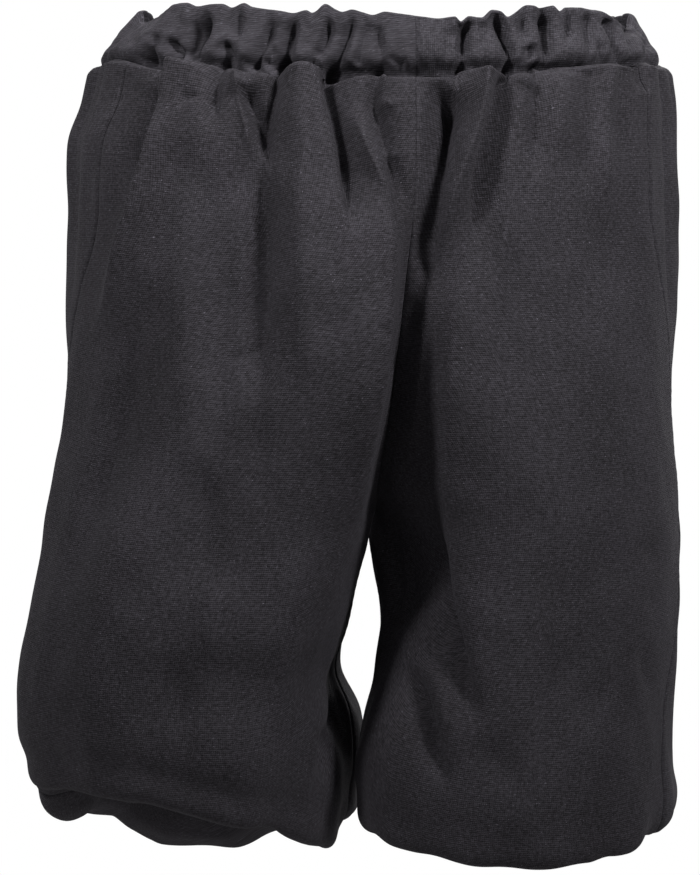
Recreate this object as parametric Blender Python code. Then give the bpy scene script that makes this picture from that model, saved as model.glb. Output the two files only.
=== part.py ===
"""Baggy knee-length trousers, filled out as worn, with a gathered elastic waistband.

Units are metres, +Z up. The front faces -Y, and +X is the wearer's left. The origin is the
middle of the waist opening, level with the middle of the waistband's front.
Every piece of cloth is a thin closed wall, made from one function of the garment's surface.
"""

import math
from collections import namedtuple

import bpy
from mathutils import Vector

# Driving sizes
CLOTH = 0.0015
BAND_WALL = 0.0034
BAND_HEIGHT = 0.033
SEAM_GAP = 0.0003
CROTCH_DROP = 0.293
LEG_DROP = 0.470
ROLL_HEIGHT = 0.020
COMMON_HEM_Z = -0.484
HEM_RADIUS = 0.062
HEM_TOP_Z = -0.416
HEM_HEIGHT = 0.020
HEM_WALL = 0.0030

# Gathers of the waistband and of the elastic hems
WAIST_GATHERS = 46
BAND_GATHER_DEPTH = 0.0040
BODY_PLEATS = 23
BODY_PLEAT_DEPTH = 0.0050
BODY_PLEAT_LENGTH = 0.100
HEM_GATHERS = 16
HEM_GATHER_DEPTH = 0.0022
BODY_PROUD = 0.0008

# Unevenness: the hem's sway, and the gathers' spacing, lean and strength
HEM_SWAY = 0.0022
HEM_SWAYS = 5
HEM_NOTCH_RISE = 0.018
HEM_NOTCH_ANGLE = math.radians(-62)
HEM_NOTCH_WIDTH = math.radians(17)
BAND_SCALLOP = 0.0045
SPREAD_WIDE = 0.035
SPREAD_NARROW = 0.022
GATHER_LEAN = 1.5
GATHER_SHARE = 0.3
FLAT_FRONT_X = 0.028
FLAT_FRONT_WIDTH = 0.018
WAIST_WIDTH_MEAN = 0.176
WAIST_DEPTH_MEAN = 0.118

# Mesh steps
FINE_COLUMNS = 48
COARSE_COLUMNS = 24
BAND_COLUMNS = 4 * WAIST_GATHERS
HEM_COLUMNS = 3 * HEM_GATHERS
SLOPE_STEP = 1e-4

Section = namedtuple("Section", "drop right_side left_side front back front_end back_end")
Seam = namedtuple("Seam", "drop centre_front centre_back")
Inseam = namedtuple("Inseam", "drop right left")
SideSeam = namedtuple("SideSeam", "drop right left")
Ring = namedtuple("Ring", "outer front inner back")
Waist = namedtuple("Waist", "side front back")
BandRow = namedtuple("BandRow", "share bulge wall")
Fold = namedtuple("Fold", "x_top x_mid x_low z_top z_low width depth")
Turn = namedtuple("Turn", "inward rise share climb")

# Half-widths and depths at each distance below the waist seam. The ends are the angles, in
# degrees from the side, where a leg's round meets the centre seam: 180 is a closed leg.
SECTIONS = [
    Section(0.000, -0.172, 0.181, 0.118, 0.118, 90, 90),
    Section(0.025, -0.183, 0.186, 0.128, 0.130, 90, 90),
    Section(0.050, -0.190, 0.189, 0.133, 0.139, 91, 91),
    Section(0.100, -0.191, 0.190, 0.137, 0.149, 94, 94),
    Section(0.150, -0.191, 0.188, 0.138, 0.152, 104, 102),
    Section(0.200, -0.191, 0.186, 0.137, 0.149, 122, 118),
    Section(0.250, -0.198, 0.189, 0.134, 0.143, 147, 142),
    Section(CROTCH_DROP, -0.205, 0.192, 0.130, 0.137, 180, 180),
    Section(0.350, -0.216, 0.190, 0.127, 0.131, 180, 180),
    Section(0.400, -0.220, 0.187, 0.124, 0.128, 180, 180),
    Section(0.435, -0.216, 0.188, 0.120, 0.126, 180, 180),
    Section(LEG_DROP, -0.207, 0.190, 0.115, 0.121, 180, 180),
]
# Where the centre seams run across the body, down to the crotch.
CENTRE_SEAMS = [
    Seam(0.000, 0.0255, 0.0000),
    Seam(0.060, 0.0255, 0.0000),
    Seam(0.130, 0.0220, 0.0000),
    Seam(0.200, 0.0145, -0.0010),
    Seam(0.250, 0.0060, -0.0020),
    Seam(CROTCH_DROP, -0.0025, -0.0025),
]
# Where each leg's inner side runs, from the crotch to the hem.
INSEAMS = [
    Inseam(CROTCH_DROP, -0.0025, -0.0025),
    Inseam(0.312, -0.0070, 0.0020),
    Inseam(0.345, -0.0115, 0.0065),
    Inseam(0.372, -0.0200, 0.0065),
    Inseam(0.400, -0.0110, 0.0010),
    Inseam(0.435, -0.0100, -0.0045),
    Inseam(LEG_DROP, -0.0130, -0.0040),
]
# How far forward of the side each side seam runs, in degrees round the leg.
SIDE_SEAMS = [
    SideSeam(0.000, 27, 27),
    SideSeam(0.080, 27, 29),
    SideSeam(0.180, 9, 13),
    SideSeam(0.250, -2, 6),
    SideSeam(0.330, -6, 14),
    SideSeam(0.400, -7, 24),
    SideSeam(LEG_DROP, -7, 27),
]
# Height of the lowest fold round each leg, and of the waist seam round the body.
HEM_RINGS = {
    "right": Ring(-0.472, -0.459, -0.488, -0.510),
    "left": Ring(-0.483, -0.495, -0.481, -0.493),
}
WAIST_RING = Waist(-0.004, -BAND_HEIGHT / 2, -0.002)
BAND_TOP_TAPER = {"right": 0.021, "left": 0.016}
BAND_TOP_DEPTH_TAPER = 0.010
HEM_CENTRES = {"right": -0.108, "left": 0.093}
HEM_LEAN = 0.30
CLEFT_DEPTH = {"right": -0.016, "left": 0.028}
SIGN = {"right": -1.0, "left": 1.0}

# The large folds, in front view. Depth is out of the cloth; below zero is a trough.
FRONT_FOLDS = [
    Fold(-0.133, -0.139, -0.153, -0.010, -0.110, 0.012, -0.0070),
    Fold(-0.116, -0.133, -0.159, -0.010, -0.200, 0.010, 0.0060),
    Fold(-0.133, -0.155, -0.188, -0.120, -0.400, 0.022, -0.0100),
    Fold(-0.109, -0.109, -0.121, -0.010, -0.370, 0.017, 0.0060),
    Fold(-0.090, -0.090, -0.099, -0.020, -0.200, 0.009, -0.0050),
    Fold(-0.077, -0.074, -0.076, -0.010, -0.150, 0.008, 0.0060),
    Fold(-0.064, -0.066, -0.068, -0.010, -0.260, 0.010, -0.0100),
    Fold(-0.044, -0.045, -0.044, -0.010, -0.230, 0.016, 0.0060),
    Fold(-0.021, -0.018, -0.015, -0.010, -0.130, 0.009, -0.0090),
    Fold(-0.006, 0.002, 0.012, -0.010, -0.170, 0.010, 0.0070),
    Fold(-0.099, -0.099, -0.112, -0.250, -0.420, 0.018, -0.0050),
    Fold(0.050, 0.036, 0.030, -0.010, -0.190, 0.014, -0.0120),
    Fold(0.066, 0.056, 0.050, -0.010, -0.230, 0.014, 0.0060),
    Fold(0.082, 0.078, 0.072, -0.010, -0.110, 0.009, -0.0090),
    Fold(0.103, 0.101, 0.100, -0.010, -0.110, 0.009, -0.0070),
    Fold(0.118, 0.118, 0.118, -0.010, -0.200, 0.014, 0.0040),
    Fold(0.138, 0.138, 0.140, -0.010, -0.150, 0.009, -0.0050),
    Fold(0.028, 0.050, 0.084, -0.330, -0.450, 0.016, -0.0060),
    Fold(0.157, 0.157, 0.155, -0.230, -0.430, 0.016, -0.0040),
]
BACK_FOLDS = [
    Fold(-0.150, -0.158, -0.166, -0.010, -0.200, 0.013, 0.0050),
    Fold(-0.118, -0.122, -0.135, -0.010, -0.330, 0.014, -0.0070),
    Fold(-0.096, -0.098, -0.100, -0.010, -0.240, 0.012, 0.0055),
    Fold(-0.072, -0.076, -0.084, -0.010, -0.150, 0.009, -0.0060),
    Fold(-0.046, -0.056, -0.072, -0.010, -0.300, 0.014, 0.0050),
    Fold(-0.022, -0.020, -0.014, -0.010, -0.170, 0.010, -0.0060),
    Fold(0.020, 0.019, 0.013, -0.010, -0.160, 0.010, -0.0060),
    Fold(0.045, 0.055, 0.074, -0.010, -0.310, 0.014, 0.0050),
    Fold(0.074, 0.080, 0.090, -0.010, -0.180, 0.010, -0.0065),
    Fold(0.102, 0.104, 0.110, -0.010, -0.260, 0.013, 0.0055),
    Fold(0.130, 0.136, 0.148, -0.010, -0.340, 0.014, -0.0070),
    Fold(-0.060, -0.090, -0.130, -0.280, -0.450, 0.016, -0.0060),
    Fold(0.050, 0.078, 0.112, -0.290, -0.460, 0.016, -0.0060),
    Fold(0.155, 0.150, 0.142, -0.300, -0.450, 0.014, 0.0045),
]
# The hem's turn: out of the straight wall, round the lowest fold, and up to the elastic.
# Inward and rise are in metres from the lowest fold. Share and climb are parts of the way
# from there to the elastic, across and up.
HEM_TURN = [
    Turn(0.0000, ROLL_HEIGHT, 0.00, 0.00),
    Turn(0.0020, 0.0085, 0.00, 0.00),
    Turn(0.0080, 0.0018, 0.00, 0.00),
    Turn(0.0170, 0.0000, 0.00, 0.00),
    Turn(0.0170, 0.0000, 0.45, 0.15),
    Turn(0.0170, 0.0000, 0.90, 0.60),
    Turn(0.0170, 0.0000, 1.00, 1.00),
]
# The waistband's section, from its rounded top edge down.
BAND_ROWS = [
    BandRow(1.00, -0.0010, BAND_WALL / 2),
    BandRow(0.80, 0.0012, BAND_WALL),
    BandRow(0.35, 0.0014, BAND_WALL),
    BandRow(0.00, 0.0000, BAND_WALL),
]
# Where the cloth's rows lie: the first ones have twice the columns, for the gathers.
WALL_DROPS = [0.0, 0.010, 0.024, 0.045, 0.075]
LEG_DROPS = [0.110, 0.145, 0.180, 0.215, 0.250, 0.275, CROTCH_DROP, 0.320, 0.360, 0.400, 0.430]


def smooth(value):
    """A soft step from 0 to 1."""
    value = min(1.0, max(0.0, value))
    return value * value * (3.0 - 2.0 * value)


def read(table, column, drop):
    """A column of a table at this distance below the waist seam, on a curve through its rows."""
    drop = min(max(drop, table[0].drop), table[-1].drop)
    last = len(table) - 1
    low = max(i for i in range(last) if table[i].drop <= drop)
    rows = [table[min(max(low + k, 0), last)] for k in (-1, 0, 1, 2)]
    y0, y1, y2, y3 = (getattr(row, column) for row in rows)
    d0, d1, d2, d3 = (row.drop for row in rows)
    step = d2 - d1
    rise = (y2 - y1) / step
    before = (y1 - y0) / (d1 - d0) if d1 > d0 else rise
    after = (y3 - y2) / (d3 - d2) if d3 > d2 else rise
    start = 0.0 if before * rise <= 0 else 2 * before * rise / (before + rise)
    end = 0.0 if after * rise <= 0 else 2 * after * rise / (after + rise)
    t = (drop - d1) / step
    return (
        y1 * (1 + 2 * t) * (1 - t) ** 2
        + start * step * t * (1 - t) ** 2
        + y2 * t * t * (3 - 2 * t)
        + end * step * t * t * (t - 1)
    )


def end_angle(face, drop):
    """Where a leg's round meets the centre seam or the inseam."""
    return math.radians(read(SECTIONS, face + "_end", drop))


def inner_x(leg, face, drop):
    """X of the centre seam above the crotch, and of the leg's inner side below it."""
    if drop < CROTCH_DROP:
        return read(CENTRE_SEAMS, "centre_" + face, drop)
    return read(INSEAMS, leg, drop)


def waist_z(angle):
    """Height of the waist seam: it dips at the centre front."""
    middle = WAIST_RING.front if angle > 0 else WAIST_RING.back
    return WAIST_RING.side + (middle - WAIST_RING.side) * math.sin(angle) ** 2


def hem_z(leg, angle):
    """Height of the lowest fold of the leg, which hangs lower at the back of the right one."""
    ring = HEM_RINGS[leg]
    mean = sum(ring) / 4
    across = (ring.outer - ring.inner) / 2
    along = (ring.front - ring.back) / 2
    twist = (ring.outer - ring.front + ring.inner - ring.back) / 4
    sway = HEM_SWAY * math.sin(HEM_SWAYS * angle + 0.6)
    if leg == "right":
        # Behind, the right hem is caught up in one place, with the cloth hanging in two lobes.
        from_notch = (angle - HEM_NOTCH_ANGLE) / HEM_NOTCH_WIDTH
        sway += HEM_NOTCH_RISE * math.exp(-(from_notch ** 2))
    return (
        mean + across * math.cos(angle) + along * math.sin(angle)
        + twist * math.cos(2 * angle) + sway
    )


def wall_point(leg, angle, drop):
    """A point of the plain round form, without folds, at this angle from the leg's side."""
    face = "front" if angle > 0 else "back"
    turn = abs(angle)
    side = read(SECTIONS, leg + "_side", drop)
    across = (1 - math.cos(turn)) / (1 - math.cos(end_angle(face, drop)))
    depth = read(SECTIONS, face, drop) * math.sin(turn)
    x = side + (inner_x(leg, face, drop) - side) * across
    y = depth
    if face == "front":
        # The right leg's cloth bulges over the middle, and the left leg's sinks in beside it.
        cleft = smooth((across - 0.5) / 0.35) * smooth((1 - across) / 0.16)
        cleft *= smooth((drop - 0.08) / 0.14) * smooth((0.44 - drop) / 0.16)
        y = CLEFT_DEPTH[leg] * cleft - depth
    # The legs' inner sides lean past each other near the hem.
    x += HEM_LEAN * y * smooth(across * 2 - 1) * smooth((drop - 0.35) / 0.05)
    own = hem_z(leg, angle) - COMMON_HEM_Z
    share = drop / LEG_DROP
    z = waist_z(angle) * (1 - share) + COMMON_HEM_Z * share
    z += own * smooth((drop - CROTCH_DROP) / (LEG_DROP - CROTCH_DROP))
    return Vector((x, y, z))


def hem_ring_point(leg, angle, radius, z):
    """A point of the elastic hem's circle, inside the leg."""
    return Vector((
        HEM_CENTRES[leg] + SIGN[leg] * radius * math.cos(angle),
        -radius * math.sin(angle),
        z,
    ))


def turned_point(leg, angle, turn):
    """A point of the cloth that turns under at the hem."""
    low = wall_point(leg, angle, LEG_DROP)
    ring = hem_ring_point(leg, angle, HEM_RADIUS, low.z)
    inward = (ring - low).normalized()
    start = low + inward * turn.inward
    point = start + (ring - start) * turn.share
    elastic = HEM_TOP_Z - HEM_HEIGHT - SEAM_GAP
    point.z = low.z + turn.rise + (elastic - low.z) * turn.climb
    return point


def body_point(leg, angle, step):
    """The plain form at a step down the cloth: past the wall's last row, the steps turn under."""
    walls = WALL_DROPS + LEG_DROPS
    if step <= len(walls) - 1:
        low = int(step)
        high = min(low + 1, len(walls) - 1)
        drop = walls[low] + (walls[high] - walls[low]) * (step - low)
        return wall_point(leg, angle, drop)
    after = step - len(walls)
    if after < 0:
        return wall_point(leg, angle, walls[-1]).lerp(
            turned_point(leg, angle, HEM_TURN[0]), after + 1
        )
    low = min(int(after), len(HEM_TURN) - 2)
    return turned_point(leg, angle, HEM_TURN[low]).lerp(
        turned_point(leg, angle, HEM_TURN[low + 1]), after - low
    )


def outward(leg, angle, step):
    """The way out of the plain form's cloth, square to its surface."""
    last = len(WALL_DROPS) + len(LEG_DROPS) + len(HEM_TURN) - 1
    back = max(step - 0.5, 0.0)
    ahead = min(step + 0.5, last)
    down = body_point(leg, angle, ahead) - body_point(leg, angle, back)
    if step == last:
        down = Vector((0.0, 0.0, 1.0))
    ahead_round = body_point(leg, angle + SLOPE_STEP, step)
    along = ahead_round - body_point(leg, angle - SLOPE_STEP, step)
    return along.cross(down).normalized() * SIGN[leg]


def gather(x, y, count, height):
    """Waist gathers from 0 in a trough to 1 on a ridge, unevenly spaced and leaning."""
    theta = math.atan2(y / WAIST_DEPTH_MEAN, x / WAIST_WIDTH_MEAN)
    spread = SPREAD_WIDE * math.sin(3 * theta + 1.1) + SPREAD_NARROW * math.sin(7 * theta + 0.4)
    lean = GATHER_LEAN * math.sin(2 * theta + 0.9) * height
    wave = 0.5 + 0.5 * math.cos(count * (theta + spread) + lean)
    strength = 0.72 + 0.28 * math.sin(11 * theta + 2.0)
    from_flat = (x - FLAT_FRONT_X) / FLAT_FRONT_WIDTH
    plain_front = 1 - 0.75 * math.exp(-(from_flat ** 2)) * (y < 0)
    return wave ** 0.8 * strength * plain_front


def fold_depth(folds, x, z):
    """How far the large folds move the cloth out at this place of the front or back view."""
    total = 0.0
    for fold in folds:
        way = (fold.z_top - z) / (fold.z_top - fold.z_low)
        if not -0.1 < way < 1.1:
            continue
        bend = 4 * (fold.x_mid - (fold.x_top + fold.x_low) / 2)
        path = fold.x_top + (fold.x_low - fold.x_top) * way + bend * way * (1 - way)
        width = fold.width * (1 + 0.5 * way)
        strength = smooth((way + 0.1) / 0.15) * smooth((1.1 - way) / 0.7)
        total += fold.depth * strength * math.exp(-(((x - path) / width) ** 2))
    return total


def cloth_depth(leg, angle, step):
    """All that the cloth stands out of, or sinks into, the plain form."""
    base = body_point(leg, angle, step)
    walls = len(WALL_DROPS) + len(LEG_DROPS)
    if step > walls - 1:
        turned = (step - walls + 1) / len(HEM_TURN)
        wave = math.sin(HEM_GATHERS * angle + 0.7)
        folds = FRONT_FOLDS if angle > 0 else BACK_FOLDS
        fading = fold_depth(folds, base.x, base.z) * smooth(1 - 2 * turned)
        inner = smooth((math.pi - abs(angle)) / 0.5)
        return fading * inner + HEM_GATHER_DEPTH * wave * turned
    drop = (WALL_DROPS + LEG_DROPS)[int(step)]
    face = "front" if angle > 0 else "back"
    folds = FRONT_FOLDS if angle > 0 else BACK_FOLDS
    # Folds die out at the sides, where front and back meet, and at the inner seams.
    side = smooth(abs(angle) / 0.6)
    close = end_angle(face, drop) - abs(angle)
    inner = 1 - smooth((drop - 0.06) / 0.06) * (1 - smooth(close / 0.3))
    pleats = BODY_PLEAT_DEPTH * (gather(base.x, base.y, BODY_PLEATS, 0.0) - GATHER_SHARE)
    pleats *= smooth(1 - drop / BODY_PLEAT_LENGTH)
    waist = smooth(drop / 0.03)
    return (
        fold_depth(folds, base.x, base.z) * side * inner * (0.15 + 0.85 * waist)
        + pleats * (0.3 + 0.7 * inner)
        + BODY_PROUD * (1 - waist)
    )


def bridge(faces, above, below, flip):
    """Quads between two rows of points, or triangles where the lower row has half the columns."""
    if len(above) == len(below):
        strips = [
            (above[i], above[i + 1], below[i + 1], below[i]) for i in range(len(above) - 1)
        ]
    else:
        strips = []
        for i in range(len(below) - 1):
            a, b, c = above[2 * i : 2 * i + 3]
            d, e = below[i : i + 2]
            strips += [(a, b, d), (b, e, d), (b, c, e)]
    faces += [tuple(reversed(strip)) if flip else strip for strip in strips]


def wall_object(name, outer_rows, inner_rows, flip, material):
    """A closed wall between two sheets of points, with its four edges filled."""
    points = []
    sheets = []
    for rows in (outer_rows, inner_rows):
        sheet = []
        for row in rows:
            sheet.append(list(range(len(points), len(points) + len(row))))
            points += row
        sheets.append(sheet)
    outer, inner = sheets
    faces = []
    for i in range(len(outer) - 1):
        bridge(faces, outer[i], outer[i + 1], flip)
        bridge(faces, inner[i], inner[i + 1], not flip)
    bridge(faces, inner[0], outer[0], flip)
    bridge(faces, outer[-1], inner[-1], flip)
    bridge(faces, [row[0] for row in inner], [row[0] for row in outer], not flip)
    bridge(faces, [row[-1] for row in outer], [row[-1] for row in inner], not flip)
    return mesh_object(name, points, faces, material)


def mesh_object(name, points, faces, material):
    """A named object from points and faces, shaded smooth apart from its sharp rims."""
    mesh = bpy.data.meshes.new(name)
    mesh.from_pydata([tuple(p) for p in points], [], faces)
    mesh.validate()
    mesh.shade_smooth()
    mesh.set_sharp_from_angle(angle=math.radians(50))
    mesh.materials.append(material)
    part = bpy.data.objects.new(name, mesh)
    bpy.context.scene.collection.objects.link(part)
    return part


def cloth_material(name, colour):
    """Dyed woven cotton: no metal, and rough."""
    material = bpy.data.materials.new(name)
    material.use_nodes = True
    shader = material.node_tree.nodes["Principled BSDF"]
    shader.inputs["Base Color"].default_value = (*colour, 1.0)
    shader.inputs["Roughness"].default_value = 0.9
    shader.inputs["Metallic"].default_value = 0.0
    return material


def pull_in(row):
    """The row with its two ends drawn in by half of the seam gap."""
    row = list(row)
    for end, beside in ((0, 1), (-1, -2)):
        row[end] = row[end] + (row[beside] - row[end]).normalized() * SEAM_GAP * 0.6
    return row


def panel(leg, face, material):
    """One quarter of the trousers: front or back of one leg, from the waist to the hem."""
    walls = WALL_DROPS + LEG_DROPS
    outer_rows = []
    inner_rows = []
    for step in range(len(walls) + len(HEM_TURN)):
        drop = walls[step] if step < len(walls) else LEG_DROP
        columns = FINE_COLUMNS if step < len(WALL_DROPS) else COARSE_COLUMNS
        seam = math.radians(read(SIDE_SEAMS, leg, drop))
        end = end_angle(face, drop) * (1 if face == "front" else -1)
        outer = []
        inner = []
        for i in range(columns + 1):
            angle = seam + (end - seam) * i / columns
            way_out = outward(leg, angle, step)
            base = body_point(leg, angle, step)
            if step == 0:
                base.z -= SEAM_GAP
                way_out = Vector((way_out.x, way_out.y, 0.0)).normalized()
            point = base + way_out * cloth_depth(leg, angle, step)
            outer.append(point)
            inner.append(point - way_out * CLOTH)
        outer_rows.append(pull_in(outer))
        inner_rows.append(pull_in(inner))
    flip = (leg == "right") != (face == "back")
    return wall_object(f"{face}_{leg}", outer_rows, inner_rows, flip, material)


def band_ring_point(turn, height):
    """A point of the waistband's plain outer form. Turn runs round from the centre front."""
    quarter = min(int(turn), 3)
    leg, face = [("left", "front"), ("left", "back"), ("right", "back"), ("right", "front")][
        quarter
    ]
    along = turn - quarter
    rising = quarter in (1, 3)
    angle = math.pi / 2 * (along if rising else 1 - along)
    base = wall_point(leg, angle if face == "front" else -angle, 0.0)
    share = height / BAND_HEIGHT
    side = SIGN[leg] * BAND_TOP_TAPER[leg] * math.cos(angle)
    depth = BAND_TOP_DEPTH_TAPER * math.sin(angle) * (-1 if face == "front" else 1)
    lean = smooth(share) * 0.5 + share * 0.5
    return Vector((base.x - side * lean, base.y - depth * lean, base.z + height))


def waistband(material):
    """The casing of the elastic: one strip, its two ends meeting at the centre front."""
    outer_rows = [[] for _ in BAND_ROWS]
    inner_rows = [[] for _ in BAND_ROWS]
    for i in range(BAND_COLUMNS + 1):
        turn = 4 * i / BAND_COLUMNS
        low = band_ring_point(turn, 0.0)
        ahead = band_ring_point(min(turn + 0.01, 4.0), 0.0)
        behind = band_ring_point(max(turn - 0.01, 0.0), 0.0)
        along = ahead - behind
        way_out = Vector((-along.y, along.x, 0.0)).normalized()
        if way_out.dot(Vector((low.x, low.y, 0.0))) < 0:
            way_out = -way_out
        for k, row in enumerate(BAND_ROWS):
            base = band_ring_point(turn, row.share * BAND_HEIGHT)
            ridge = gather(low.x, low.y, WAIST_GATHERS, row.share)
            if row.share == 1.0:
                base.z += BAND_SCALLOP * (ridge - 2 * GATHER_SHARE)
            depth = row.bulge + BAND_GATHER_DEPTH * (ridge - GATHER_SHARE)
            outer_rows[k].append(base + way_out * depth)
            inner_rows[k].append(base + way_out * (depth - row.wall))
    outer_rows = [pull_in(row) for row in outer_rows]
    inner_rows = [pull_in(row) for row in inner_rows]
    return wall_object("waistband", outer_rows, inner_rows, True, material)


def hem_casing(leg, material):
    """The ring of cloth round the leg's elastic, inside the blouse of the leg."""
    section = [(0.0, 0.0), (HEM_WALL, 0.0), (HEM_WALL + 0.0004, HEM_HEIGHT / 2)]
    section += [(HEM_WALL, HEM_HEIGHT), (0.0, HEM_HEIGHT), (-0.0004, HEM_HEIGHT / 2)]
    points = []
    for i in range(HEM_COLUMNS):
        angle = 2 * math.pi * i / HEM_COLUMNS
        wave = HEM_GATHER_DEPTH * math.sin(HEM_GATHERS * angle + 0.7)
        for out, up in section:
            radius = HEM_RADIUS - HEM_WALL / 4 - wave + out
            points.append(hem_ring_point(leg, angle, radius, HEM_TOP_Z - HEM_HEIGHT + up))
    count = len(section)
    faces = []
    for i in range(HEM_COLUMNS):
        after = (i + 1) % HEM_COLUMNS
        for k in range(count):
            beside = (k + 1) % count
            face = (
                i * count + k, i * count + beside,
                after * count + beside, after * count + k,
            )
            faces.append(tuple(reversed(face)) if leg == "right" else face)
    return mesh_object(f"hem_casing_{leg}", points, faces, material)


def clear_scene():
    for old in list(bpy.data.objects):
        bpy.data.objects.remove(old, do_unlink=True)


def main():
    clear_scene()
    body_cloth = cloth_material("charcoal cotton canvas", (0.048, 0.045, 0.053))
    band_cloth = cloth_material("charcoal canvas casing", (0.052, 0.049, 0.057))
    waistband(band_cloth)
    for leg in ("right", "left"):
        for face in ("front", "back"):
            panel(leg, face, body_cloth)
        hem_casing(leg, band_cloth)


main()
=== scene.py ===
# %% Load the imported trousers
import math
from collections import namedtuple

import bpy
import numpy as np
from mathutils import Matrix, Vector


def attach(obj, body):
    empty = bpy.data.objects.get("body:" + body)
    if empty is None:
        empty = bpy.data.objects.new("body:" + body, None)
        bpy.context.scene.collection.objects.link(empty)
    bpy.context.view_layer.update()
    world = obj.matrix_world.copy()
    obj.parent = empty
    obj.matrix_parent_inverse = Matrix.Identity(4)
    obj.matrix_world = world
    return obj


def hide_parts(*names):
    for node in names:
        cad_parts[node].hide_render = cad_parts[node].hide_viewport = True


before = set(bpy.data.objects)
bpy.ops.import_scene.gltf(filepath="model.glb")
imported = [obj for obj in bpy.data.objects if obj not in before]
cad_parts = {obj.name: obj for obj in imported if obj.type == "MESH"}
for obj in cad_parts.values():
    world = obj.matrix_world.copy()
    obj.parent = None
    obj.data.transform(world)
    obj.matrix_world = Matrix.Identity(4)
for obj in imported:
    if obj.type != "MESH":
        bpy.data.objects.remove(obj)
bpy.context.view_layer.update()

print("cloth pieces:", sorted(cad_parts))

# %% [markdown]
# # Baggy knee-length trousers of dyed cotton canvas
#
# The real trousers are four panels of coarse charcoal canvas, a front and a back for each leg.
# An elastic in a casing gathers them at the waist, and another gathers each leg under the knee,
# so that the cloth blouses over it. In the photograph they are filled out as if worn.
#
# A cloth simulation could drape such panels, but it wouldn't put each pleat where the real one
# lies. So the surface is written as functions: first the filled-out form, then the pleats and
# creases, each placed one by one, and last the weave as a material.
#
# Distances in the tables are millimetres, and everything else is in metres. The front faces -Y,
# and the wearer's left is +X.

# %% Sizes
CANVAS = 0.0013            # thickness of the canvas
BAND_THICKNESS = 0.0040    # the doubled casing with its elastic
BAND_HEIGHT = 0.033
FORK_DROP = 0.293          # waist seam to the fork, where the legs part
LEG_DROP = 0.470           # waist seam to the lowest fold
HEM_LEVEL = -0.484
ROLL_HEIGHT = 0.020
HEM_ELASTIC_RADIUS = 0.062
HEM_ELASTIC_TOP = -0.416
HEM_ELASTIC_HEIGHT = 0.020
HEM_CASING_WALL = 0.0030
HEM_MIDDLES = {"right": -0.108, "left": 0.093}
OUTER_SIDE = {"right": -1.0, "left": 1.0}
EYE = Vector((-0.0137, -2.5, -0.236))
SEEN_HALF_HEIGHT = 0.273   # what the camera sees above and below its middle, at the waist's middle
print("leg, waist to hem:", LEG_DROP * 1000, "mm")

# %% [markdown]
# ## Reading a size table as a smooth curve
#
# A pattern cutter measures a garment at a few heights and draws a fair curve through the marks.
# `fair_curve` does the same. Straight lines between the marks would leave a kink at each of
# them, and a free spline would swing past them, so this one never rises above or falls below
# the two marks that it runs between.

# %% A fair curve through the marks of a table
def soft_step(value, start=0.0, end=1.0):
    """A soft change from 0 at the start to 1 at the end, which may be the lower of the two."""
    share = np.clip((value - start) / (end - start), 0.0, 1.0)
    return share * share * (3.0 - 2.0 * share)


def fair_curve(marks, values, at):
    """The value of a table at these places, on a curve that keeps between its marks."""
    marks = np.asarray(marks, float)
    values = np.asarray(values, float)
    rise = np.diff(values) / np.diff(marks)
    before, after = rise[:-1], rise[1:]
    inner = np.where(
        before * after > 0,
        2 * before * after / np.where(before + after == 0, 1, before + after),
        0.0,
    )
    slope = np.concatenate([rise[:1], inner, rise[-1:]])
    at = np.clip(at, marks[0], marks[-1])
    low = np.clip(np.searchsorted(marks, at, side="right") - 1, 0, len(marks) - 2)
    step = marks[low + 1] - marks[low]
    t = (at - marks[low]) / step
    return (
        values[low] * (1 + 2 * t) * (1 - t) ** 2
        + slope[low] * step * t * (1 - t) ** 2
        + values[low + 1] * t * t * (3 - 2 * t)
        + slope[low + 1] * step * t * t * (t - 1)
    )


print("halfway between two marks:", fair_curve([0, 1, 2], [0, 10, 12], np.array([0.5, 1.5])))

# %% [markdown]
# ## The filled-out form
#
# Each leg is a round that opens into the hips: at every height it has a side, a front and a
# back, and above the fork it stops at the centre seam. The table gives those sizes down the
# leg. The angle runs round the leg from its outer side, forward to +180 and back to -180 degrees.
# Two soft bags of cloth don't meet edge to edge: at the fork the right leg hangs over the middle
# and the left leg sinks in behind it, which the last table gives.

# %% Sizes of the body and legs at each height
def columns(names, rows):
    """The columns of a size table by their names."""
    return dict(zip(names.split(), zip(*rows)))


SECTIONS = columns("drop right_side left_side front back front_end back_end", [
    (0, -169, 182, 118, 118, 90, 90),
    (25, -177, 186, 128, 130, 90, 90),
    (50, -186, 187, 133, 139, 91, 91),
    (100, -187, 188, 137, 149, 94, 94),
    (150, -188, 187, 138, 152, 104, 102),
    (200, -189, 186, 137, 149, 122, 118),
    (250, -197, 189, 134, 143, 147, 142),
    (293, -205, 191, 130, 137, 180, 180),
    (350, -216, 189, 127, 131, 180, 180),
    (400, -222, 186, 124, 128, 180, 180),
    (435, -220, 187, 120, 126, 180, 180),
    (470, -214, 190, 115, 121, 180, 180),
])
CENTRE_SEAMS = columns("drop front back", [
    (0, 25.5, 0.0),
    (60, 25.5, 0.0),
    (130, 19.0, 0.0),
    (200, 11.0, -1.0),
    (250, 3.5, -2.0),
    (293, -2.5, -2.5),
])
INSEAMS = columns("drop right left", [
    (293, -2.5, -2.5),
    (312, -8.0, 2.0),
    (345, -15.5, 6.5),
    (372, -24.0, 6.5),
    (400, -13.0, 1.0),
    (435, -10.0, -4.5),
    (470, -13.0, -4.0),
])
# How far forward of the leg's side its side seam runs, in degrees.
SIDE_SEAMS = columns("drop right left", [
    (0, 27, 27),
    (80, 27, 29),
    (180, 9, 13),
    (250, -2, 6),
    (330, -6, 14),
    (400, -7, 24),
    (470, -7, 27),
])
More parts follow.
